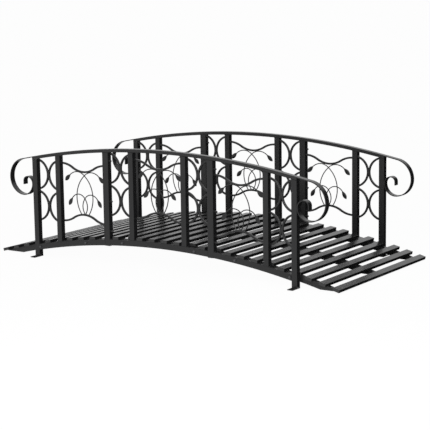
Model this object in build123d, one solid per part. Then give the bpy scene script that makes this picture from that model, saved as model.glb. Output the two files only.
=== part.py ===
from build123d import *

import os
from math import asin, cos, degrees, pi, sin, sqrt

# Arched garden bridge: two arched railings bolted to an arched slatted deck.
# Millimetres, +X along the walk, +Y to the back railing, +Z up, feet on Z = 0.

# Railing, from mid span outwards
middle_bay = 342.0          # clear width of the wide bay at mid span
narrow_bay = 149.0          # clear width of the bays with half rings
wide_bay = 332.5            # clear width of the outer bays with vine panels
half_width = 535.5          # outer face of the railings from the centre line
post_size = 35.0            # square tube of the posts, also the depth of the railings
joint_bar_thickness = 6.0   # flat bar bolted to the joint post

# Arches: height at mid span and radius
rail_top_mid = 718.0        # top of the handrail
rail_radius = 4950.0
bar_bottom_mid = 137.0      # underside of the bottom bars and stringers
bar_radius = 4480.0

# Bars
handrail_thickness = 20.0
bottom_bar_depth = 35.0     # also the depth of the stringers
stringer_width = 28.0
corner_round = 2.0          # outer corners of the straight tubes
corner_bevel = 1.5          # outer corners of the arched tubes
infill_inset = 6.0          # middle of the rings and wavy bars to the deck side of the railing's middle
seat_gap = 0.2              # fit between a piece and a curved seat
joint_post_overrun = 1.0    # joint posts show below the bottom bars

# Feet
foot_thickness = 5.0
foot_reach = 46.0           # tab beyond the outer face of the post
foot_hole = 9.0

# Deck
tip_cut_height = 6.0        # level cut under the stringer ends
tip_face = 2.5              # height of the blunt stringer end
slat_width = 43.0
slat_thickness = 18.0
slat_end_gap = 1.0          # short slat's end to the post beside it
slat_edge_inset = 1.0       # long slat's end inside the outer face of the railing
last_slat_inset = 12.0      # centre of the last slat inside the stringer end
slat_pairs = 14             # slats on each half of the deck
end_slats = 9               # slats in each end group

# Half rings of the narrow bays
ring_bar = 12.0
ring_half_height = 90.0
ring_top_gap = 6.5          # handrail to the end of the upper ring
ring_spacing = 15.5         # upper ring end to lower ring end
ring_overlap = 1.0          # weld overlap at the middle of the bay

# Vine panels of the wide bays
wave_bar = 12.0
wave_rise = 47.0            # rise of the wavy bars
wave_drop = 45.5            # top wavy bar's ends below the handrail, at the bay's outer post
wave_lift = 129.0           # bottom wavy bar's ends above the bottom bar, at the same post
wire = 6.0
wire_overlap = 1.0          # weld overlap of the wires on the deck side of the wavy bars
loop_foot_half = 24.0       # big loop at the bottom wavy bar
loop_half = 62.0            # big loop at its widest
loop_cross_drop = 22.0      # big loop's crossing below the top wavy bar's dip
loop_weld_half = 34.0       # big loop's welds under that dip, from the middle of the bay
loop_end_drop = 25.0        # big loop's leaf below the dip
loop_leaf_margin = 54.0     # big loop's leaf to the post
side_pair_half = 18.0       # small pair at its widest, in the outer bays
side_pair_margin = 68.0     # that pair's leaf to the post
middle_pair_half = 28.0     # small pair at its widest, at mid span
middle_pair_margin = 91.0   # that pair's leaf to the post
leaf_length = 58.0
leaf_width = 20.0
leaf_thickness = 4.0

# Heights in the vine panel, as shares from the bottom bar's crest to the big loop's crossing
loop_wide_share = 0.46
side_pair_shares = (0.21, 0.42, 0.395)      # widest, crossing, leaf
middle_pair_shares = (0.265, 0.53, 0.515)

# End scrolls, radii from the handrail to the inner curl
ribbon = 6.0
scroll_radii = (119.5, 106.0, 73.0, 42.0, 29.0)
scroll_tail = 21.0

inner_post_x = (middle_bay + post_size) / 2
joint_inner_x = inner_post_x + post_size / 2 + narrow_bay
joint_face_x = joint_inner_x + post_size
joint_outer_x = joint_face_x + joint_bar_thickness
outer_post_x = joint_outer_x + wide_bay + post_size / 2
end_post_x = outer_post_x + post_size + narrow_bay
inner_plane = half_width - post_size
rail_middle = half_width - post_size / 2
infill_plane = rail_middle - infill_inset
wire_plane = infill_plane - (wave_bar + wire) / 2 + wire_overlap
under_rail_mid = rail_top_mid - handrail_thickness
under_rail_radius = rail_radius - handrail_thickness
bar_top_mid = bar_bottom_mid + bottom_bar_depth
bar_top_radius = bar_radius + bottom_bar_depth
tip_x = sqrt(bar_top_radius**2 - (bar_top_radius - bar_top_mid + tip_cut_height + tip_face) ** 2)


def arch_z(mid, radius, x):
    """Height of an arch at x."""
    return mid - radius + sqrt(radius**2 - x**2)


def under_rail(x):
    """Underside of the handrail at x."""
    return arch_z(under_rail_mid, under_rail_radius, x)


def bar_top(x):
    """Top of the bottom bar at x."""
    return arch_z(bar_top_mid, bar_top_radius, x)


def bar_bottom(x):
    """Underside of the bottom bar at x."""
    return arch_z(bar_bottom_mid, bar_radius, x)


def slab(outline, inner, depth):
    """Solid of an X-Z outline, from y = -inner outwards by depth."""
    return extrude(Plane.XZ.offset(inner) * outline, amount=depth)


def rail_slab(outline):
    """Solid as deep as the rail."""
    return slab(outline, inner_plane, post_size)


def arch_band(top_mid, top_radius, depth, x0, x1):
    """Outline of an arched bar with upright ends."""
    xs = (x0, (x0 + x1) / 2, x1)
    top = [(x, arch_z(top_mid, top_radius, x)) for x in xs]
    low = [(x, arch_z(top_mid - depth, top_radius - depth, x)) for x in xs]
    edges = [
        ThreePointArc(*top),
        Line(top[-1], low[-1]),
        ThreePointArc(*reversed(low)),
        Line(low[0], top[0]),
    ]
    return make_face(edges)


def soften(solid, axis):
    """Round the long corners of a straight tube."""
    return fillet(solid.edges().filter_by(axis), corner_round)


def arch_tube(outline):
    """Arched tube with its long corners bevelled."""
    solid = rail_slab(outline)
    return chamfer(solid.edges().filter_by(GeomType.CIRCLE), corner_bevel)


def post(x0, x1, low0, low1):
    """Upright post cut to the slope of the handrail."""
    high0 = under_rail(x0) - seat_gap
    high1 = under_rail(x1) - seat_gap
    outline = Polygon((x0, low0), (x1, low1), (x1, high1), (x0, high0), align=None)
    return soften(rail_slab(outline), Axis.Z)


def standing_post(x):
    """Post on top of the bottom bar."""
    x0 = x - post_size / 2
    x1 = x + post_size / 2
    return post(x0, x1, bar_top(x0) + seat_gap, bar_top(x1) + seat_gap)


def joint_post():
    """Post at the end of the middle section."""
    low = bar_bottom(joint_face_x) - joint_post_overrun
    return post(joint_inner_x, joint_face_x, low, low)


def joint_bar():
    """Flat bar at the end of a side section, bolted to the joint post."""
    low = bar_bottom(joint_outer_x)
    outline = Polygon(
        (joint_face_x, low),
        (joint_outer_x, low),
        (joint_outer_x, under_rail(joint_outer_x) - seat_gap),
        (joint_face_x, under_rail(joint_face_x) - seat_gap),
        align=None,
    )
    return rail_slab(outline)


def end_post():
    """Post that stands on a foot."""
    x0 = end_post_x - post_size / 2
    x1 = end_post_x + post_size / 2
    return post(x0, x1, foot_thickness, foot_thickness)


def foot_plate():
    """Plate under an end post with a tab to the outside."""
    length = post_size + foot_reach
    plate = Box(post_size, length, foot_thickness, align=(Align.CENTER, Align.MAX, Align.MIN))
    hole = Pos(0, -post_size - foot_reach / 2, foot_thickness / 2) * Cylinder(
        foot_hole / 2, foot_thickness
    )
    return Pos(end_post_x, -inner_plane, 0) * (plate - hole)


def handrail(x0, x1):
    """Section of the arched handrail."""
    return arch_tube(arch_band(rail_top_mid, rail_radius, handrail_thickness, x0, x1))


def bottom_bar(x0, x1):
    """Section of the arched bottom bar."""
    return arch_tube(arch_band(bar_top_mid, bar_top_radius, bottom_bar_depth, x0, x1))


def half_rings(x0, x1):
    """Two pairs of half rings between the faces x0 and x1 of a narrow bay, x1 the lower end."""
    middle = (x0 + x1) / 2
    sagitta = (x1 - x0) / 2 - ring_bar / 2 + ring_overlap
    radius = (ring_half_height**2 + sagitta**2) / (2 * sagitta)
    ring = Circle(radius + ring_bar / 2) - Circle(radius - ring_bar / 2)
    upper = under_rail(x1) - ring_top_gap - ring_half_height
    lower = upper - 2 * ring_half_height - ring_spacing
    inner = infill_plane - ring_bar / 2
    pairs = []
    for z in (upper, lower):
        bay = Pos(middle, z) * Rectangle(x1 - x0, 2 * radius + 2 * ring_bar)
        left = Pos(x0 + sagitta - radius, z) * ring
        right = Pos(x1 - sagitta + radius, z) * ring
        pairs.append(slab((left & bay) + (right & bay), inner, ring_bar))
    return pairs


def strip(path, width, depth):
    """Bar swept along a path in an upright plane."""
    start = Plane(path @ 0, x_dir=(0, 1, 0), z_dir=path % 0)
    return sweep(start * Rectangle(depth, width), path=path)


def wavy_bar(x0, x1, z_end, rise):
    """Wavy bar between two posts, level at both ends."""
    quarter = (x1 - x0) / 4
    rise_shares = (0, 1 / 2, 1, 1 / 2, 0)
    points = [
        (x0 + index * quarter, -infill_plane, z_end + rise * share)
        for index, share in enumerate(rise_shares)
    ]
    tangent = Vector(1, 0, 0)
    arcs = []
    for start, end in zip(points, points[1:]):
        arc = TangentArc(start, end, tangent=tangent)
        tangent = arc % 1
        arcs.append(arc)
    return strip(Wire(arcs), wave_bar, wave_bar)


def strand(foot, wide, cross, *onward):
    """Wire from the bottom wavy bar through the crossing and on to a leaf, given as X-Z points."""
    points = [(x, -wire_plane, z) for x, z in (foot, wide, cross, *onward)]
    arcs = [ThreePointArc(*points[:3])]
    for start, end in zip(points[2:], points[3:]):
        arcs.append(TangentArc(start, end, tangent=arcs[-1] % 1))
    wires = [strip(arc, wire, wire) for arc in arcs]
    return wires + [leaf(arcs[-1] @ 1, arcs[-1] % 1)]


def leaf(base, heading):
    """Flat pointed leaf from a wire's end."""
    blade = make_face(
        [
            ThreePointArc((0, 0), (leaf_length / 2, leaf_width / 2), (leaf_length, 0)),
            ThreePointArc((leaf_length, 0), (leaf_length / 2, -leaf_width / 2), (0, 0)),
        ]
    )
    root = Plane(base - heading * wire, x_dir=heading, z_dir=(0, -1, 0))
    return extrude(root * blade, amount=leaf_thickness / 2, both=True)


def vine_panel(x0, x1, pair_half, pair_margin, pair_shares):
    """Vine panel between the faces x0 and x1 of a wide bay, x1 the lower end."""
    pair_wide_share, pair_cross_share, pair_end_share = pair_shares
    middle = (x0 + x1) / 2
    half = (x1 - x0) / 2
    top = under_rail(x1) - wave_drop
    foot = bar_top(x1) + wave_lift
    dip = top - wave_rise
    crest = foot + wave_rise
    cross = dip - loop_cross_drop
    height = cross - crest
    wave_radius = (half**2 / 4 + wave_rise**2 / 4) / wave_rise
    weld = dip - (wave_bar + wire) / 2 + wire_overlap - arch_z(0, wave_radius, loop_weld_half)
    pieces = [wavy_bar(x0, x1, top, -wave_rise), wavy_bar(x0, x1, foot, wave_rise)]
    for side in (-1, 1):
        pieces += strand(
            (middle + side * loop_foot_half, crest - wave_bar / 2),
            (middle + side * loop_half, crest + loop_wide_share * height),
            (middle, cross),
            (middle - side * loop_weld_half, weld),
            (middle - side * (half - loop_leaf_margin), dip - loop_end_drop),
        )
        pieces += strand(
            (middle, crest),
            (middle + side * pair_half, crest + pair_wide_share * height),
            (middle, crest + pair_cross_share * height),
            (middle - side * (half - pair_margin), crest + pair_end_share * height),
        )
    panel = pieces[0]
    for piece in pieces[1:]:
        panel = panel + piece
    return panel


def scroll():
    """Ribbon that carries the handrail on and curls back to the end post."""
    x0 = end_post_x + post_size / 2
    radius = rail_radius - ribbon / 2
    slope = asin(x0 / radius)
    first, second, third = scroll_radii[:3]
    turn = first * (1 - sin(slope))
    run = (seat_gap + ribbon / 2 + second + third - turn) / cos(slope)
    z0 = arch_z(rail_top_mid - ribbon / 2, radius, x0)
    heading = Vector(cos(slope), 0, -sin(slope))
    begin = Vector(x0, -rail_middle, z0)
    lead = Line(begin - heading * ribbon, begin + heading * run)
    edges = [lead]
    here = lead @ 1
    angle = -slope
    for quarters, size in enumerate(scroll_radii, start=1):
        goal = -quarters * pi / 2
        step = Vector(sin(angle) - sin(goal), 0, cos(goal) - cos(angle))
        arc = TangentArc(here, here + step * size, tangent=heading)
        edges.append(arc)
        here = arc @ 1
        heading = arc % 1
        angle = goal
    edges.append(Line(here, here + heading * scroll_tail))
    curl = strip(Wire(edges), ribbon, post_size)
    return split(curl, bisect_by=Plane.YZ.offset(x0), keep=Keep.TOP)


def stringer(y):
    """Arched deck beam with level cut ends, its middle at y."""
    outline = arch_band(bar_top_mid, bar_top_radius, bottom_bar_depth, -tip_x, tip_x)
    keep = Pos(0, tip_cut_height) * Rectangle(
        2 * tip_x, bar_top_mid, align=(Align.CENTER, Align.MIN)
    )
    return slab(outline & keep, stringer_width / 2 - y, -stringer_width)


def slat_reach(x):
    """Half length of the slat at x: out over the bottom bars, or up to the posts that it meets."""
    clear = (slat_width + slat_thickness + post_size) / 2
    joint_middle_x = (joint_inner_x + joint_outer_x) / 2
    joint_clear = clear + joint_bar_thickness / 2
    meets_post = any(abs(x - post_x) < clear for post_x in (inner_post_x, outer_post_x, end_post_x))
    if meets_post or abs(x - joint_middle_x) < joint_clear:
        return inner_plane - slat_end_gap
    return half_width - slat_edge_inset


def slats(first, last):
    """Deck slats from index first up to last, square to the arch."""
    radius = bar_top_radius + seat_gap + slat_thickness / 2
    pitch = asin((tip_x - last_slat_inset) / radius) / (slat_pairs - 1 / 2)
    placed = []
    for index in range(first, last):
        angle = (index + 1 / 2) * pitch
        x = radius * sin(angle)
        z = bar_top_mid - bar_top_radius + radius * cos(angle)
        slat = soften(Box(slat_width, 2 * slat_reach(abs(x)), slat_thickness), Axis.Y)
        placed.append(Location((x, 0, z), (0, degrees(angle), 0)) * slat)
    return placed


def left(piece):
    """Same piece at the left end."""
    return mirror(piece, about=Plane.YZ)


def back(pieces):
    """Same pieces on the back rail."""
    return [mirror(piece, about=Plane.XZ) for piece in pieces]


rail_end = end_post_x + post_size / 2
bay_end = end_post_x - post_size / 2
side_handrail = handrail(joint_face_x, rail_end)
side_bar = bottom_bar(joint_outer_x, bay_end)
end_rings = half_rings(outer_post_x + post_size / 2, bay_end)
inner_rings = half_rings(inner_post_x + post_size / 2, joint_inner_x)
side_pair = (side_pair_half, side_pair_margin, side_pair_shares)
middle_pair = (middle_pair_half, middle_pair_margin, middle_pair_shares)
side_vine = vine_panel(joint_outer_x, outer_post_x - post_size / 2, *side_pair)
middle_vine = vine_panel(-middle_bay / 2, middle_bay / 2, *middle_pair)
outer_post = standing_post(outer_post_x)
inner_post = standing_post(inner_post_x)

rail = {
    "handrail_right": [side_handrail],
    "handrail_middle": [handrail(-joint_face_x, joint_face_x)],
    "handrail_left": [left(side_handrail)],
    "scroll_right": [scroll()],
    "scroll_left": [left(scroll())],
    "bottom_bar_right": [side_bar],
    "bottom_bar_middle": [bottom_bar(-joint_inner_x, joint_inner_x)],
    "bottom_bar_left": [left(side_bar)],
    "end_post_right": [end_post()],
    "end_post_left": [left(end_post())],
    "foot_plates": [foot_plate(), left(foot_plate())],
    "joint_posts": [joint_post(), left(joint_post())],
    "joint_bars": [joint_bar(), left(joint_bar())],
    "inner_posts": [outer_post, inner_post, left(inner_post), left(outer_post)],
    "end_half_rings": end_rings + [left(ring) for ring in end_rings],
    "inner_half_rings": inner_rings + [left(ring) for ring in inner_rings],
    "vine_panel_right": [side_vine],
    "vine_panel_middle": [middle_vine],
    "vine_panel_left": [left(side_vine)],
}

side_y = inner_plane - stringer_width / 2
nodes = {f"front_{name}": pieces for name, pieces in rail.items()}
nodes.update({f"back_{name}": back(pieces) for name, pieces in rail.items()})
nodes["deck_stringer_front"] = [stringer(-side_y)]
nodes["deck_stringer_middle"] = [stringer(0)]
nodes["deck_stringer_back"] = [stringer(side_y)]
nodes["deck_slats_left"] = slats(-slat_pairs, end_slats - slat_pairs)
nodes["deck_slats_middle"] = slats(end_slats - slat_pairs, slat_pairs - end_slats)
nodes["deck_slats_right"] = slats(slat_pairs - end_slats, slat_pairs)

os.makedirs("parts", exist_ok=True)
for name, pieces in nodes.items():
    solids = [solid for piece in pieces for solid in piece.solids()]
    export_step(Compound(children=solids), f"parts/{name}.step")
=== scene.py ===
import cmath
import math

import bpy
from mathutils import Matrix, Vector


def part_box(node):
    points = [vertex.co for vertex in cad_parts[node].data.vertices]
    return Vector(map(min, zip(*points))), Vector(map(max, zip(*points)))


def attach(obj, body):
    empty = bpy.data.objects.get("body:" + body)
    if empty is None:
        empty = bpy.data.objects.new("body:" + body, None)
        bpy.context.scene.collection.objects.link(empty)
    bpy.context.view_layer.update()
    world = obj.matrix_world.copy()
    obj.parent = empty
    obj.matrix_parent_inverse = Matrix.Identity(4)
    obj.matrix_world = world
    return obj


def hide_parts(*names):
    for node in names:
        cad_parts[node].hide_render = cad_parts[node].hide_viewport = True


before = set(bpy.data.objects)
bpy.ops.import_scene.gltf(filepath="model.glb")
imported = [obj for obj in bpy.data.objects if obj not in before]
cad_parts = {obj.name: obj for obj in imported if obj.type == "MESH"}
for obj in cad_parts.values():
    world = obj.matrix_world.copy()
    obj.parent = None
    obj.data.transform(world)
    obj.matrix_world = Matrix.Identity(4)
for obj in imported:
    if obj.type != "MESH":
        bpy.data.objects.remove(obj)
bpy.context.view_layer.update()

scene = bpy.context.scene

# Camera, from a fit to the posts, arches and slats (metres and radians, lens and sensor in millimetres)
camera_place = (4.8947, -7.1929, 1.7362)
camera_yaw = 0.5929
camera_pitch_down = 0.16835
camera_roll = -0.0146
camera_lens = 119.95
camera_sensor = 36.0

# Floor and light (metres and watts)
floor_half = 400.0
floor_colour = (0.9, 0.9, 0.9, 1.0)
floor_roughness = 0.9
floor_white_share = 0.965
fill_level = 0.5
key_place = (2.1, -3.6, 2.1)
key_size = 2.0
key_power = 110.0
card_corners = ((1.4, 6.3), (7.0, 2.5))
card_height = 3.5
card_foot = ((-1.6, -0.5), (1.2, -0.5), (1.4, -1.0), (4.0, -0.5), (7.0, 2.5), (1.4, 6.3), (-1.6, 1.2))
card_lift = 0.002
card_colour = (0.01, 0.01, 0.01, 1.0)
card_roughness = 1.0

# Faces and planes of the railings, from the frame (metres)
end_post_low, end_post_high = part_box("front_end_post_right")
post_size = end_post_high.x - end_post_low.x
rail_outer = -end_post_low.y
rail_inner = -end_post_high.y
rail_middle = (rail_outer + rail_inner) / 2
bay_end_x = end_post_low.x
end_post_x = (end_post_low.x + end_post_high.x) / 2
outer_post_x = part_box("front_inner_posts")[1].x - post_size / 2
narrow_bay = bay_end_x - outer_post_x - post_size / 2
joint_outer_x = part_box("front_joint_bars")[1].x
joint_face_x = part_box("front_joint_posts")[1].x
joint_inner_x = joint_face_x - post_size
inner_post_x = joint_inner_x - narrow_bay - post_size / 2
infill_low, infill_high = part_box("front_end_half_rings")
infill_y = -(infill_low.y + infill_high.y) / 2

# Railings, each with the sign of Y on its outside
rails = {"front": -1, "back": 1}

# Arches: height at mid span and radius
under_rail_arch = (0.698, 4.930)
bar_top_arch = (0.172, 4.515)
bar_depth = 0.035
stringer_width = 0.028

# Slats
slat_width = 0.043
slat_thickness = 0.018
slat_seat_gap = 0.0002
slat_post_gap = 0.001
last_slat_x = 1.192
slat_pairs = 14
long_slat_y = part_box("deck_slats_right")[1].y
short_slat_y = rail_inner - slat_post_gap

# Half rings of the narrow bays
ring_bar = 0.012
bar_corner = 0.0025
ring_half_height = 0.090
ring_top_gap = 0.0065
ring_spacing = 0.0155
ring_overlap = 0.001

# Vine panels of the wide bays
wave_bar = 0.012
wave_rise = 0.047
wave_drop = 0.0455
wave_lift = 0.129
wire = 0.006
wire_corner = 0.0028
wire_overlap = 0.001
wire_y = infill_y - (wave_bar + wire) / 2 + wire_overlap
wire_pass_reach = 0.04
loop_foot_half = 0.024
loop_half = 0.062
loop_cross_drop = 0.022
loop_weld_half = 0.034
loop_end_drop = 0.025
loop_leaf_margin = 0.054
side_pair_half = 0.018
side_pair_margin = 0.068
middle_pair_half = 0.028
middle_pair_margin = 0.091
loop_wide_share = 0.46
side_pair_shares = (0.21, 0.42, 0.395)
middle_pair_shares = (0.265, 0.53, 0.515)

# Pressed leaves
leaf_length = 0.058
leaf_width = 0.027
leaf_sheet = 0.002
leaf_cup = 0.0025
leaf_widest_share = 0.58
leaf_fullness = 0.7
leaf_point_share = 0.985
leaf_stem_power = 2
leaf_sheet_power = 3

# Bolts and nuts
bolt_flats = 0.013
bolt_head = 0.0055
washer_radius = 0.0085
washer_thickness = 0.0016
bolt_stub_radius = 0.004
bolt_stub = 0.004
bolt_edge = 0.0007
cap_radius = 0.006
cap_straight = 0.003
cap_dome_share = 0.96
bar_bolt_xs = (0.260, 0.540, 0.902)
joint_bolt_zs = (0.632, 0.388, 0.207)

# Weld beads and slat plugs
bead_radius = 0.0022
bead_corner = 0.0013
bead_ripple_spacing = 0.0036
bead_ripple_share = 0.14
bead_margin = 0.0025
bead_step = 0.0012
spot_radius = 0.0038
spot_cut_share = 0.03
plug_wall = 0.0012
plug_proud = 0.0008
plug_round = 0.0015

# Steps of the meshes, and the angles past which an edge stays sharp (degrees)
arc_steps = 16
bar_corner_steps = 3
bead_corner_steps = 1
bolt_around = 24
cap_steps = 6
leaf_rows = 16
leaf_around = 14
plug_corner_steps = 4
spot_rows = 6
spot_around = 10
hard_edge_angle = 30
leaf_edge_angle = 70
spot_edge_angle = 80

# Finishes: noise per metre, dark and light tone, roughness, and strength and depth of the bump
fine_detail = 2.0
coarse_detail = 3.0
noise_value_span = (0.3, 0.7)
noise_tone_span = (0.35, 0.65)
coat_pebble_scale = 700.0
coat_drift_scale = 9.0
coat_tones = ((0.007, 0.007, 0.0074), (0.012, 0.012, 0.0124))
coat_roughness = (0.24, 0.32)
coat_specular = 0.36
coat_bump = (0.12, 0.0004)
zinc_grain_scale = 900.0
zinc_tones = ((0.06, 0.06, 0.063), (0.11, 0.11, 0.113))
zinc_roughness = (0.30, 0.42)
zinc_bump = (0.1, 0.0002)
plastic_grain_scale = 1400.0
plastic_tones = ((0.012, 0.012, 0.012), (0.018, 0.018, 0.018))
plastic_roughness = (0.48, 0.58)
plastic_bump = (0.15, 0.0002)


def arch_z(arch, x):
    """Height of an arch at x."""
    middle, radius = arch
    return middle - radius + math.sqrt(radius**2 - x**2)


def bow(radius, run):
    """How far an arc has left its tangent after a run along it."""
    return radius * (1 - math.sqrt(1 - (run / radius) ** 2))


# Materials


def new_material(name):
    """Node material, its tree and its principled shader."""
    material = bpy.data.materials.new(name)
    material.use_nodes = True
    tree = material.node_tree
    return material, tree, tree.nodes["Principled BSDF"]


def noise(tree, scale, detail):
    """Noise on the piece's own coordinates."""
    place = tree.nodes.new("ShaderNodeTexCoord")
    texture = tree.nodes.new("ShaderNodeTexNoise")
    texture.inputs["Scale"].default_value = scale
    texture.inputs["Detail"].default_value = detail
    tree.links.new(place.outputs["Object"], texture.inputs["Vector"])
    return texture


def carried(tree, value, span, value_span=(0.0, 1.0)):
    """Value carried over from its own span to another."""
    node = tree.nodes.new("ShaderNodeMapRange")
    node.inputs["From Min"].default_value, node.inputs["From Max"].default_value = value_span
    node.inputs["To Min"].default_value, node.inputs["To Max"].default_value = span
    tree.links.new(value, node.inputs["Value"])
    return node.outputs["Result"]


def tone(tree, texture, tones):
    """Noise turned into a colour between a dark and a light tone."""
    ramp = tree.nodes.new("ShaderNodeValToRGB")
    for element, position, colour in zip(ramp.color_ramp.elements, noise_tone_span, tones):
        element.position = position
        element.color = (*colour, 1.0)
    tree.links.new(texture.outputs["Fac"], ramp.inputs["Fac"])
    return ramp.outputs["Color"]


def relief(tree, texture, bump):
    """Bump from noise."""
    node = tree.nodes.new("ShaderNodeBump")
    node.inputs["Strength"].default_value, node.inputs["Distance"].default_value = bump
    tree.links.new(texture.outputs["Fac"], node.inputs["Height"])
    return node.outputs["Normal"]


def dress(tree, shader, grain, wear, tones, roughness, bump):
    """Colour and bump of a finish from its grain, and roughness from its wear."""
    tree.links.new(tone(tree, grain, tones), shader.inputs["Base Color"])
    roughness_value = carried(tree, wear.outputs["Fac"], roughness, noise_value_span)
    tree.links.new(roughness_value, shader.inputs["Roughness"])
    tree.links.new(relief(tree, grain, bump), shader.inputs["Normal"])


def powder_coat():
    """Satin black powder coat with a fine pebbled skin."""
    material, tree, shader = new_material("black_powder_coat")
    shader.inputs["Specular IOR Level"].default_value = coat_specular
    pebble = noise(tree, coat_pebble_scale, fine_detail)
    drift = noise(tree, coat_drift_scale, coarse_detail)
    dress(tree, shader, pebble, drift, coat_tones, coat_roughness, coat_bump)
    return material


def bolt_steel():
    """Dark zinc of the bolts, washers and nuts."""
    material, tree, shader = new_material("dark_zinc")
    shader.inputs["Metallic"].default_value = 1.0
    grain = noise(tree, zinc_grain_scale, coarse_detail)
    dress(tree, shader, grain, grain, zinc_tones, zinc_roughness, zinc_bump)
    return material


def plug_plastic():
    """Matt black plastic of the slat plugs."""
    material, tree, shader = new_material("black_plastic")
    grain = noise(tree, plastic_grain_scale, fine_detail)
    dress(tree, shader, grain, grain, plastic_tones, plastic_roughness, plastic_bump)
    return material


# Geometry trees


def new_tree(name, inputs):
    """Geometry tree with named inputs, and a maker of its nodes."""
    tree = bpy.data.node_groups.new(name, "GeometryNodeTree")
    tree.interface.new_socket("Geometry", in_out="INPUT", socket_type="NodeSocketGeometry")
    for label, kind in inputs.items():
        tree.interface.new_socket(label, in_out="INPUT", socket_type=f"NodeSocket{kind}")
    tree.interface.new_socket("Geometry", in_out="OUTPUT", socket_type="NodeSocketGeometry")

    def node(kind, links=None, **settings):
        made = tree.nodes.new(kind)
        for key, value in settings.items():
            setattr(made, key, value)
        for socket, source in (links or {}).items():
            if hasattr(source, "is_output"):
                tree.links.new(source, made.inputs[socket])
            else:
                made.inputs[socket].default_value = source
        return made

    return tree, node


def bar_along_lines():
    """Bar with rounded corners along the lines of a mesh, with a ripple for weld beads."""
    tree, node = new_tree(
        "bar_along_lines",
        {
            "Bar size": "Float",
            "Corner radius": "Float",
            "Corner steps": "Int",
            "Ripple spacing": "Float",
            "Ripple share": "Float",
            "Finish": "Material",
        },
    )
    given = node("NodeGroupInput").outputs
    line = node("GeometryNodeMeshToCurve", {"Mesh": given["Geometry"]})
    along = node("GeometryNodeSplineParameter")
    turns = node(
        "ShaderNodeMath", {0: along.outputs["Length"], 1: given["Ripple spacing"]}, operation="DIVIDE"
    )
    phase = node("ShaderNodeMath", {0: turns.outputs[0], 1: math.tau}, operation="MULTIPLY")
    wave = node("ShaderNodeMath", {0: phase.outputs[0]}, operation="SINE")
    scale = node(
        "ShaderNodeMath", {0: wave.outputs[0], 1: given["Ripple share"], 2: 1.0}, operation="MULTIPLY_ADD"
    )
    square = node(
        "GeometryNodeCurvePrimitiveQuadrilateral", {"Width": given["Bar size"], "Height": given["Bar size"]}
    )
    profile = node(
        "GeometryNodeFilletCurve",
        {
            "Curve": square.outputs["Curve"],
            "Count": given["Corner steps"],
            "Radius": given["Corner radius"],
            "Limit Radius": True,
        },
        mode="POLY",
    )
    bar = node(
        "GeometryNodeCurveToMesh",
        {
            "Curve": line.outputs["Curve"],
            "Profile Curve": profile.outputs["Curve"],
            "Scale": scale.outputs[0],
            "Fill Caps": True,
        },
    )
    smooth = node("GeometryNodeSetShadeSmooth", {"Geometry": bar.outputs["Mesh"]})
    real = node("GeometryNodeRealizeInstances", {"Geometry": smooth.outputs["Geometry"]})
    coated = node(
        "GeometryNodeSetMaterial", {"Geometry": real.outputs["Geometry"], "Material": given["Finish"]}
    )
    node("NodeGroupOutput", {"Geometry": coated.outputs["Geometry"]})
    return tree


def pieces_at_places():
    """One small piece at every point of a mesh, turned by the point's own turn."""
    tree, node = new_tree("pieces_at_places", {"Piece": "Object", "Finish": "Material"})
    given = node("NodeGroupInput").outputs
    pattern = node("GeometryNodeObjectInfo", {"Object": given["Piece"], "As Instance": True})
    turn = node("GeometryNodeInputNamedAttribute", {"Name": "turn"}, data_type="FLOAT_VECTOR")
    rotation = node("FunctionNodeEulerToRotation", {"Euler": turn.outputs["Attribute"]})
    placed = node(
        "GeometryNodeInstanceOnPoints",
        {
            "Points": given["Geometry"],
            "Instance": pattern.outputs["Geometry"],
            "Rotation": rotation.outputs["Rotation"],
        },
    )
    real = node("GeometryNodeRealizeInstances", {"Geometry": placed.outputs["Instances"]})
    coated = node(
        "GeometryNodeSetMaterial", {"Geometry": real.outputs["Geometry"], "Material": given["Finish"]}
    )
    node("NodeGroupOutput", {"Geometry": coated.outputs["Geometry"]})
    return tree


def run_tree(name, mesh, tree, values):
    """Piece of the bridge that a tree makes from a mesh, kept as a plain mesh."""
    source = bpy.data.objects.new(f"{name}_source", mesh)
    scene.collection.objects.link(source)
    modifier = source.modifiers.new("tree", "NODES")
    modifier.node_group = tree
    for item in tree.interface.items_tree:
        if item.name in values:
            modifier[item.identifier] = values[item.name]
    depsgraph = bpy.context.evaluated_depsgraph_get()
    made = bpy.data.meshes.new_from_object(source.evaluated_get(depsgraph))
    source.modifiers.remove(modifier)
    bpy.data.objects.remove(source)
    made.name = name
    piece = bpy.data.objects.new(name, made)
    scene.collection.objects.link(piece)
    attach(piece, "root")
    return piece


def bars(name, lines, size, corner, steps, ripple=0.0):
    """Coated bars with rounded corners along lines, each a list of points."""
    points = []
    edges = []
    for line in lines:
        first = len(points)
        points += line
        edges += [(first + step, first + step + 1) for step in range(len(line) - 1)]
    mesh = bpy.data.meshes.new(name)
    mesh.from_pydata(points, edges, [])
    values = {
        "Bar size": size,
        "Corner radius": corner,
        "Corner steps": steps,
        "Ripple spacing": bead_ripple_spacing,
        "Ripple share": ripple,
        "Finish": coat,
    }
    return run_tree(name, mesh, bar_tree, values)


def places(name, pattern, spots, finish):
    """Copies of a pattern at spots, each a point and a turn."""
    mesh = bpy.data.meshes.new(name)
    mesh.from_pydata([point for point, turn in spots], [], [])
    turns = mesh.attributes.new("turn", "FLOAT_VECTOR", "POINT")
    turns.data.foreach_set("vector", [angle for point, turn in spots for angle in turn])
    return run_tree(name, mesh, place_tree, {"Piece": pattern, "Finish": finish})


def facing(axis):
    """Turn that points a pattern's own Z along an axis."""
    return Vector(axis).to_track_quat("Z", "Y").to_euler()


# Patterns of the small pieces


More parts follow.
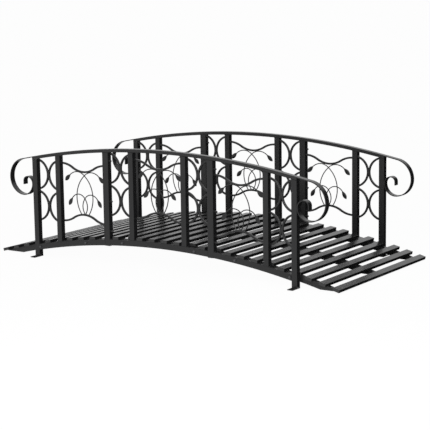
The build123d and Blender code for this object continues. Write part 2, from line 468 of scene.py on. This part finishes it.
def loft(name, rings, sharp_angle):
    """Closed pattern through rings of points."""
    around = len(rings[0])
    points = [point for ring in rings for point in ring]
    faces = [tuple(reversed(range(around))), tuple(range(len(points) - around, len(points)))]
    for ring in range(len(rings) - 1):
        for step in range(around):
            after = (step + 1) % around
            low = ring * around
            faces.append((low + step, low + after, low + around + after, low + around + step))
    mesh = bpy.data.meshes.new(name)
    mesh.from_pydata(points, [], faces)
    mesh.polygons.foreach_set("use_smooth", [True] * len(mesh.polygons))
    mesh.set_sharp_from_angle(angle=math.radians(sharp_angle))
    return bpy.data.objects.new(name, mesh)


def round_ring(radius, z, around=bolt_around):
    """Ring of points round the Z axis."""
    return [
        (radius * math.cos(math.tau * step / around), radius * math.sin(math.tau * step / around), z)
        for step in range(around)
    ]


def hex_ring(flats, z, limit):
    """Hexagon about the Z axis with its corners cut back to a limit."""
    ring = []
    sixth = math.tau / 6
    for step in range(bolt_around):
        angle = math.tau * step / bolt_around
        radius = min(flats / 2 / math.cos(angle % sixth - sixth / 2), limit)
        ring.append((radius * math.cos(angle), radius * math.sin(angle), z))
    return ring


def bolt_end(stub):
    """Radii and heights of a bolt's end that stands out by the stub."""
    return [
        (bolt_stub_radius, 0.0),
        (bolt_stub_radius, stub - bolt_edge / 2),
        (bolt_stub_radius - bolt_edge, stub),
    ]


def cap_dome():
    """Radii and heights of the dome of a cap nut."""
    dome = [(cap_radius, 0.0)]
    for step in range(cap_steps + 1):
        angle = cap_dome_share * math.pi / 2 * step / cap_steps
        dome.append((cap_radius * math.cos(angle), cap_straight + cap_radius * math.sin(angle)))
    return dome


def hex_head(name, tip):
    """Hexagon on a washer, with a round tip on it given by its radii and heights."""
    base = washer_thickness
    top = base + bolt_head
    corner = bolt_flats / 2 / math.cos(math.tau / 12)
    rings = [
        round_ring(washer_radius, 0.0),
        round_ring(washer_radius, base - bolt_edge / 2),
        round_ring(washer_radius - bolt_edge / 2, base),
        round_ring(corner + bolt_edge / 4, base),
        hex_ring(bolt_flats, base, corner),
        hex_ring(bolt_flats, top - bolt_edge, corner),
        hex_ring(bolt_flats, top, corner - 2 * bolt_edge),
    ]
    rings += [round_ring(radius, top + height) for radius, height in tip]
    return loft(name, rings, hard_edge_angle)


def pressed_leaf():
    """Leaf along X: narrow at the stem, widest past its middle, cupped, with a round point."""
    power = math.log(0.5) / math.log(leaf_widest_share)
    rings = []
    for step in range(leaf_rows + 1):
        share = step / leaf_rows
        swell = math.sin(math.pi * min(share**power, leaf_point_share)) ** leaf_fullness
        half = max(leaf_width / 2 * swell, wire / 2 * (1 - share) ** leaf_stem_power)
        thick = leaf_sheet / 2 + (wire - leaf_sheet) / 2 * (1 - share) ** leaf_sheet_power
        ring = []
        for turn in range(leaf_around):
            angle = math.tau * turn / leaf_around
            across = math.cos(angle)
            dish = leaf_cup * swell * (1 - across**2)
            ring.append((leaf_length * share, half * across, thick * math.sin(angle) - dish))
        rings.append(ring)
    return loft("leaf_pattern", rings, leaf_edge_angle)


def slat_plug():
    """Plug in the end of a slat, proud along Z."""

    def outline(inset, z):
        half_x = slat_width / 2 - plug_wall - inset
        half_y = slat_thickness / 2 - plug_wall - inset
        ring = []
        for corner in range(4):
            sign_x = 1 if corner in (0, 3) else -1
            sign_y = 1 if corner in (0, 1) else -1
            for step in range(plug_corner_steps + 1):
                angle = math.tau / 4 * (corner + step / plug_corner_steps)
                x = sign_x * (half_x - plug_round) + plug_round * math.cos(angle)
                y = sign_y * (half_y - plug_round) + plug_round * math.sin(angle)
                ring.append((x, y, z))
        return ring

    rings = [
        outline(0.0, -plug_proud),
        outline(0.0, plug_proud / 2),
        outline(plug_proud / 2, plug_proud),
    ]
    return loft("plug_pattern", rings, hard_edge_angle)


def weld_spot():
    """Small round lump of weld."""
    rings = []
    for row in range(spot_rows + 1):
        angle = math.pi * (spot_cut_share + (1 - 2 * spot_cut_share) * row / spot_rows)
        rings.append(round_ring(spot_radius * math.sin(angle), -spot_radius * math.cos(angle), spot_around))
    return loft("spot_pattern", rings, spot_edge_angle)


# Lines of the railing, as points of the X-Z plane


def mirrored(line):
    """Same line at the other end of the bridge."""
    return [-point.conjugate() for point in line]


def upright(line, y):
    """Line of the X-Z plane put at a depth y."""
    return [(point.real, y, point.imag) for point in line]


def ring_heights(x1):
    """Middle heights of the two pairs of half rings in a bay whose lower end is at x1."""
    upper = arch_z(under_rail_arch, x1) - ring_top_gap - ring_half_height
    return upper, upper - 2 * ring_half_height - ring_spacing


def half_ring_lines(x0, x1):
    """Half rings between the faces x0 and x1 of a narrow bay, x1 the lower end."""
    sagitta = (x1 - x0) / 2 - ring_bar / 2 + ring_overlap
    radius = (ring_half_height**2 + sagitta**2) / (2 * sagitta)
    reach = math.acos((radius - sagitta) / radius) + ring_bar / 2 / radius
    lines = []
    for height in ring_heights(x1):
        for face, inward in ((x0, 1), (x1, -1)):
            centre = complex(face + inward * (sagitta - radius), height)
            angles = [reach * step / arc_steps for step in range(-arc_steps, arc_steps + 1)]
            lines.append([centre + inward * cmath.rect(radius, angle) for angle in angles])
    return lines


def wavy_line(x0, x1, z_end, rise):
    """Wavy bar of four equal arcs, level at both posts and at its middle."""
    middle = (x0 + x1) / 2
    half = (x1 - x0) / 2
    radius = (half**2 + rise**2) / (4 * rise)
    line = [complex(x0 - wave_bar / 2, z_end)]
    for step in range(-2 * arc_steps, 2 * arc_steps + 1):
        x = half * step / (2 * arc_steps)
        if abs(x) < half / 2:
            z = z_end + rise - bow(radius, x)
        else:
            z = z_end + bow(radius, half - abs(x))
        line.append(complex(middle + x, z))
    return line + [complex(x1 + wave_bar / 2, z_end)]


def strand(foot, wide, *onward):
    """Wire of arcs that run on into each other, and its heading at the end."""
    cross = onward[0]
    half_turn = cmath.phase((cross - wide) / (wide - foot))
    heading = (cross - foot) / abs(cross - foot) * cmath.exp(-1j * half_turn)
    line = [foot]
    for end in onward:
        start = line[-1]
        half_turn = cmath.phase((end - start) / heading)
        radius = abs(end - start) / (2 * math.sin(half_turn))
        for step in range(1, arc_steps + 1):
            angle = 2 * half_turn * step / arc_steps
            line.append(start + heading * radius * complex(math.sin(angle), 1 - math.cos(angle)))
        heading *= cmath.exp(2j * half_turn)
    return line, heading


def vine_lines(x0, x1, pair_half, pair_margin, pair_shares):
    """Wavy bars and wires of a vine panel between the faces x0 and x1, x1 the lower end."""
    pair_wide_share, pair_cross_share, pair_end_share = pair_shares
    middle = (x0 + x1) / 2
    half = (x1 - x0) / 2
    top = arch_z(under_rail_arch, x1) - wave_drop
    foot = arch_z(bar_top_arch, x1) + wave_lift
    dip = top - wave_rise
    crest = foot + wave_rise
    cross = dip - loop_cross_drop
    height = cross - crest
    wave_radius = (half**2 + wave_rise**2) / (4 * wave_rise)
    weld = dip - (wave_bar + wire) / 2 + wire_overlap + bow(wave_radius, loop_weld_half)
    loop_cross = complex(middle, cross)
    pair_cross = complex(middle, crest + pair_cross_share * height)
    waves = [wavy_line(x0, x1, top, -wave_rise), wavy_line(x0, x1, foot, wave_rise)]
    wires = []
    for side in (-1, 1):
        loop = strand(
            complex(middle + side * loop_foot_half, crest - wave_bar / 2),
            complex(middle + side * loop_half, crest + loop_wide_share * height),
            loop_cross,
            complex(middle - side * loop_weld_half, weld),
            complex(middle - side * (half - loop_leaf_margin), dip - loop_end_drop),
        )
        pair = strand(
            complex(middle, crest),
            complex(middle + side * pair_half, crest + pair_wide_share * height),
            pair_cross,
            complex(middle - side * (half - pair_margin), crest + pair_end_share * height),
        )
        wires.append((side, loop_cross, *loop))
        wires.append((side, pair_cross, *pair))
    return waves, wires


def wire_points(line, cross, outward, over):
    """Wire on the deck side of the wavy bars, which steps aside where it crosses the other."""
    points = []
    for point in line:
        aside = over * wire / 2 * math.exp(-((abs(point - cross) / wire_pass_reach) ** 2))
        points.append((point.real, outward * (wire_y - aside), point.imag))
    return points


def leaf_spot(line, heading, y, outward):
    """Place and turn of a leaf at a wire's end, cupped to the inside of the railing."""
    along = Vector((heading.real, 0.0, heading.imag))
    normal = Vector((0.0, outward, 0.0))
    turn = Matrix((along, normal.cross(along), normal)).transposed().to_euler()
    tip = line[-1] - heading * wire
    return (tip.real, y, tip.imag), turn


# Pieces of the bridge


def ring_pieces(side, outward):
    """Half rings of one railing, and the weld spots where two rings touch."""
    y = outward * infill_y
    bays = {
        "end": (outer_post_x + post_size / 2, bay_end_x),
        "inner": (inner_post_x + post_size / 2, joint_inner_x),
    }
    spots = []
    for name, (x0, x1) in bays.items():
        lines = half_ring_lines(x0, x1)
        lines += [mirrored(line) for line in lines]
        upright_lines = [upright(line, y) for line in lines]
        piece = bars(f"{side}_{name}_rings", upright_lines, ring_bar, bar_corner, bar_corner_steps)
        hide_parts(f"{side}_{name}_half_rings")
        for height in ring_heights(x1):
            for x in ((x0 + x1) / 2, -(x0 + x1) / 2):
                for depth in (y - ring_bar / 4, y + ring_bar / 4):
                    spots.append(((x, depth, height + spot_radius), (0, 0, 0)))
                    spots.append(((x, depth, height - spot_radius), (0, 0, 0)))
    places(f"{side}_ring_welds", spot_pattern, spots, coat)


def vine_pieces(side, outward):
    """Vine panels of one railing."""
    y = outward * infill_y
    side_pair = (side_pair_half, side_pair_margin, side_pair_shares)
    middle_pair = (middle_pair_half, middle_pair_margin, middle_pair_shares)
    middle_x = inner_post_x - post_size / 2
    right = vine_lines(joint_outer_x, outer_post_x - post_size / 2, *side_pair)
    middle = vine_lines(-middle_x, middle_x, *middle_pair)
    waves = right[0] + middle[0] + [mirrored(line) for line in right[0]]
    wires = right[1] + middle[1]
    for over, cross, line, heading in right[1]:
        wires.append((over, -cross.conjugate(), mirrored(line), -heading.conjugate()))
    upright_waves = [upright(line, y) for line in waves]
    piece = bars(f"{side}_wavy_bars", upright_waves, wave_bar, bar_corner, bar_corner_steps)
    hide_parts(*(f"{side}_vine_panel_{end}" for end in ("left", "middle", "right")))
    strands = []
    leaves = []
    for over, cross, line, heading in wires:
        strands.append(wire_points(line, cross, outward, over))
        leaves.append(leaf_spot(line, heading, outward * wire_y, outward))
    bars(f"{side}_vine_wires", strands, wire, wire_corner, bar_corner_steps)
    places(f"{side}_leaves", leaf_pattern, leaves, coat)


def bolt_pieces(side, outward):
    """Bolts through the bottom bar and, all from the left, through the joint posts of one railing."""
    heads = []
    nuts = []
    cap_nuts = []
    for end in (-1, 1):
        for x in bar_bolt_xs:
            z = arch_z(bar_top_arch, x) - bar_depth / 2
            heads.append(((end * x, outward * rail_outer, z), facing((0, outward, 0))))
            inner_face = rail_inner - stringer_width
            nuts.append(((end * x, outward * inner_face, z), facing((0, -outward, 0))))
        left, right = sorted((end * joint_inner_x, end * joint_outer_x))
        for z in joint_bolt_zs:
            heads.append(((left, outward * rail_middle, z), facing((-1, 0, 0))))
            cap_nuts.append(((right, outward * rail_middle, z), facing((1, 0, 0))))
    places(f"{side}_bolt_heads", head_pattern, heads, zinc)
    places(f"{side}_bolt_nuts", nut_pattern, nuts, zinc)
    places(f"{side}_cap_nuts", cap_pattern, cap_nuts, coat)


def bead(start, end):
    """Straight line of a weld bead."""
    start = Vector(start)
    run = Vector(end) - start
    steps = round(run.length / bead_step)
    return [start + run * step / steps for step in range(steps + 1)]


def beads(name, lines):
    """Rippled weld beads along lines."""
    return bars(name, lines, 2 * bead_radius, bead_corner, bead_corner_steps, bead_ripple_share)


def weld_pieces(side, outward):
    """Beads across the posts where they meet the bottom bar and the handrail."""
    faces = [joint_inner_x, joint_outer_x, bay_end_x]
    for x in (inner_post_x, outer_post_x):
        faces += [x - post_size / 2, x + post_size / 2]
    inner = outward * (rail_inner + bead_margin)
    outer = outward * (rail_outer - bead_margin)
    lines = []
    for x in faces:
        for z in (arch_z(under_rail_arch, x), arch_z(bar_top_arch, x)):
            for end in (-1, 1):
                lines.append(bead((end * x, inner, z), (end * x, outer, z)))
    beads(f"{side}_post_welds", lines)


def slat_places():
    """Place and tilt of every slat."""
    middle, radius = bar_top_arch
    reach = radius + slat_seat_gap + slat_thickness / 2
    pitch = math.asin(last_slat_x / reach) / (slat_pairs - 0.5)
    for index in range(-slat_pairs, slat_pairs):
        angle = (index + 0.5) * pitch
        yield Vector((reach * math.sin(angle), 0.0, middle - radius + reach * math.cos(angle))), angle


def slat_end(x):
    """Half length of the slat at x: short where it meets a post."""
    clear = (slat_width + slat_thickness + post_size) / 2
    posts = (inner_post_x, (joint_inner_x + joint_outer_x) / 2, outer_post_x, end_post_x)
    meets_post = any(abs(abs(x) - post_x) < clear for post_x in posts)
    return short_slat_y if meets_post else long_slat_y


def slat_pieces():
    """Plugs in the slat ends, and beads between the slats and the stringers."""
    plugs = []
    lines = []
    half = Vector((0.0, stringer_width / 2 - bead_margin, 0.0))
    stringer_ys = (-rail_inner + stringer_width / 2, 0.0, rail_inner - stringer_width / 2)
    for centre, angle in slat_places():
        tilt = Matrix.Rotation(angle, 3, "Y")
        for outward in rails.values():
            turn = (tilt @ Matrix.Rotation(-outward * math.pi / 2, 3, "X")).to_euler()
            plugs.append((centre + Vector((0.0, outward * slat_end(centre.x), 0.0)), turn))
        for edge in (-1, 1):
            free_edge = edge * centre.x > last_slat_x - slat_width
            if free_edge:
                continue
            corner = Vector((edge * (slat_width - bead_radius) / 2, 0.0, -slat_thickness / 2))
            foot = centre + tilt @ corner
            for y in stringer_ys:
                middle = foot + Vector((0.0, y, 0.0))
                lines.append(bead(middle - half, middle + half))
    places("slat_plugs", plug_pattern, plugs, plastic)
    beads("slat_welds", lines)


# Floor, light and camera


def seen_directly(tree):
    """One for rays from the camera, from gloss and through glass, and zero for light."""
    path = tree.nodes.new("ShaderNodeLightPath")
    either = path.outputs["Is Camera Ray"]
    for ray in ("Is Glossy Ray", "Is Transmission Ray"):
        most = tree.nodes.new("ShaderNodeMath")
        most.operation = "MAXIMUM"
        tree.links.new(either, most.inputs[0])
        tree.links.new(path.outputs[ray], most.inputs[1])
        either = most.outputs[0]
    return either


def plain_floor():
    """Pale matt floor that keeps a light shadow."""
    mesh = bpy.data.meshes.new("floor")
    corners = [(x * floor_half, y * floor_half, 0.0) for x, y in ((-1, -1), (1, -1), (1, 1), (-1, 1))]
    mesh.from_pydata(corners, [], [(0, 1, 2, 3)])
    material, tree, shader = new_material("pale_floor")
    shader.inputs["Base Color"].default_value = floor_colour
    shader.inputs["Roughness"].default_value = floor_roughness
    white = tree.nodes.new("ShaderNodeEmission")
    mix = tree.nodes.new("ShaderNodeMixShader")
    tree.links.new(carried(tree, seen_directly(tree), (0.0, floor_white_share)), mix.inputs["Fac"])
    tree.links.new(shader.outputs["BSDF"], mix.inputs[1])
    tree.links.new(white.outputs["Emission"], mix.inputs[2])
    tree.links.new(mix.outputs["Shader"], tree.nodes["Material Output"].inputs["Surface"])
    mesh.materials.append(material)
    floor = bpy.data.objects.new("floor", mesh)
    scene.collection.objects.link(floor)


def dark_card():
    """Black card behind the right end, and black cloth before it, seen in reflections alone."""
    (x0, y0), (x1, y1) = card_corners
    points = [(x, y, card_lift) for x, y in card_foot]
    points += [(x0, y0, 0.0), (x1, y1, 0.0), (x1, y1, card_height), (x0, y0, card_height)]
    foot = tuple(range(len(card_foot)))
    wall = tuple(range(len(card_foot), len(points)))
    mesh = bpy.data.meshes.new("dark_card")
    mesh.from_pydata(points, [], [foot, wall])
    material, tree, shader = new_material("black_card")
    shader.inputs["Base Color"].default_value = card_colour
    shader.inputs["Roughness"].default_value = card_roughness
    shader.inputs["Specular IOR Level"].default_value = 0.0
    mesh.materials.append(material)
    card = bpy.data.objects.new("dark_card", mesh)
    card.visible_camera = False
    card.visible_diffuse = False
    card.visible_transmission = False
    card.visible_volume_scatter = False
    card.visible_shadow = False
    scene.collection.objects.link(card)


def studio_light():
    """White surroundings and one broad soft key light from the upper front."""
    world = bpy.data.worlds.new("studio")
    world.use_nodes = True
    tree = world.node_tree
    background = tree.nodes["Background"]
    background.inputs["Color"].default_value = (1, 1, 1, 1)
    tree.links.new(carried(tree, seen_directly(tree), (fill_level, 1.0)), background.inputs["Strength"])
    scene.world = world
    lamp = bpy.data.lights.new("key", "AREA")
    lamp.energy = key_power
    lamp.size = key_size
    key = bpy.data.objects.new("key", lamp)
    key.location = key_place
    key.rotation_euler = (-Vector(key_place)).to_track_quat("-Z", "Y").to_euler()
    scene.collection.objects.link(key)


def photo_camera():
    """Camera at the photograph's viewing angle."""
    data = bpy.data.cameras.new("camera")
    data.sensor_width = camera_sensor
    data.lens = camera_lens
    camera = bpy.data.objects.new("camera", data)
    turn = (
        Matrix.Rotation(camera_yaw, 4, "Z")
        @ Matrix.Rotation(math.pi / 2 - camera_pitch_down, 4, "X")
        @ Matrix.Rotation(camera_roll, 4, "Z")
    )
    camera.matrix_world = Matrix.Translation(camera_place) @ turn
    scene.collection.objects.link(camera)
    scene.camera = camera


coat = powder_coat()
zinc = bolt_steel()
plastic = plug_plastic()
for cad_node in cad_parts.values():
    cad_node.data.materials.clear()
    cad_node.data.materials.append(coat)

bar_tree = bar_along_lines()
place_tree = pieces_at_places()
leaf_pattern = pressed_leaf()
head_pattern = hex_head("head_pattern", bolt_end(bolt_edge))
nut_pattern = hex_head("nut_pattern", bolt_end(bolt_stub))
cap_pattern = hex_head("cap_pattern", cap_dome())
plug_pattern = slat_plug()
spot_pattern = weld_spot()

for side, outward in rails.items():
    ring_pieces(side, outward)
    vine_pieces(side, outward)
    bolt_pieces(side, outward)
    weld_pieces(side, outward)
slat_pieces()

plain_floor()
dark_card()
studio_light()
photo_camera()
scene.view_settings.view_transform = "Standard"
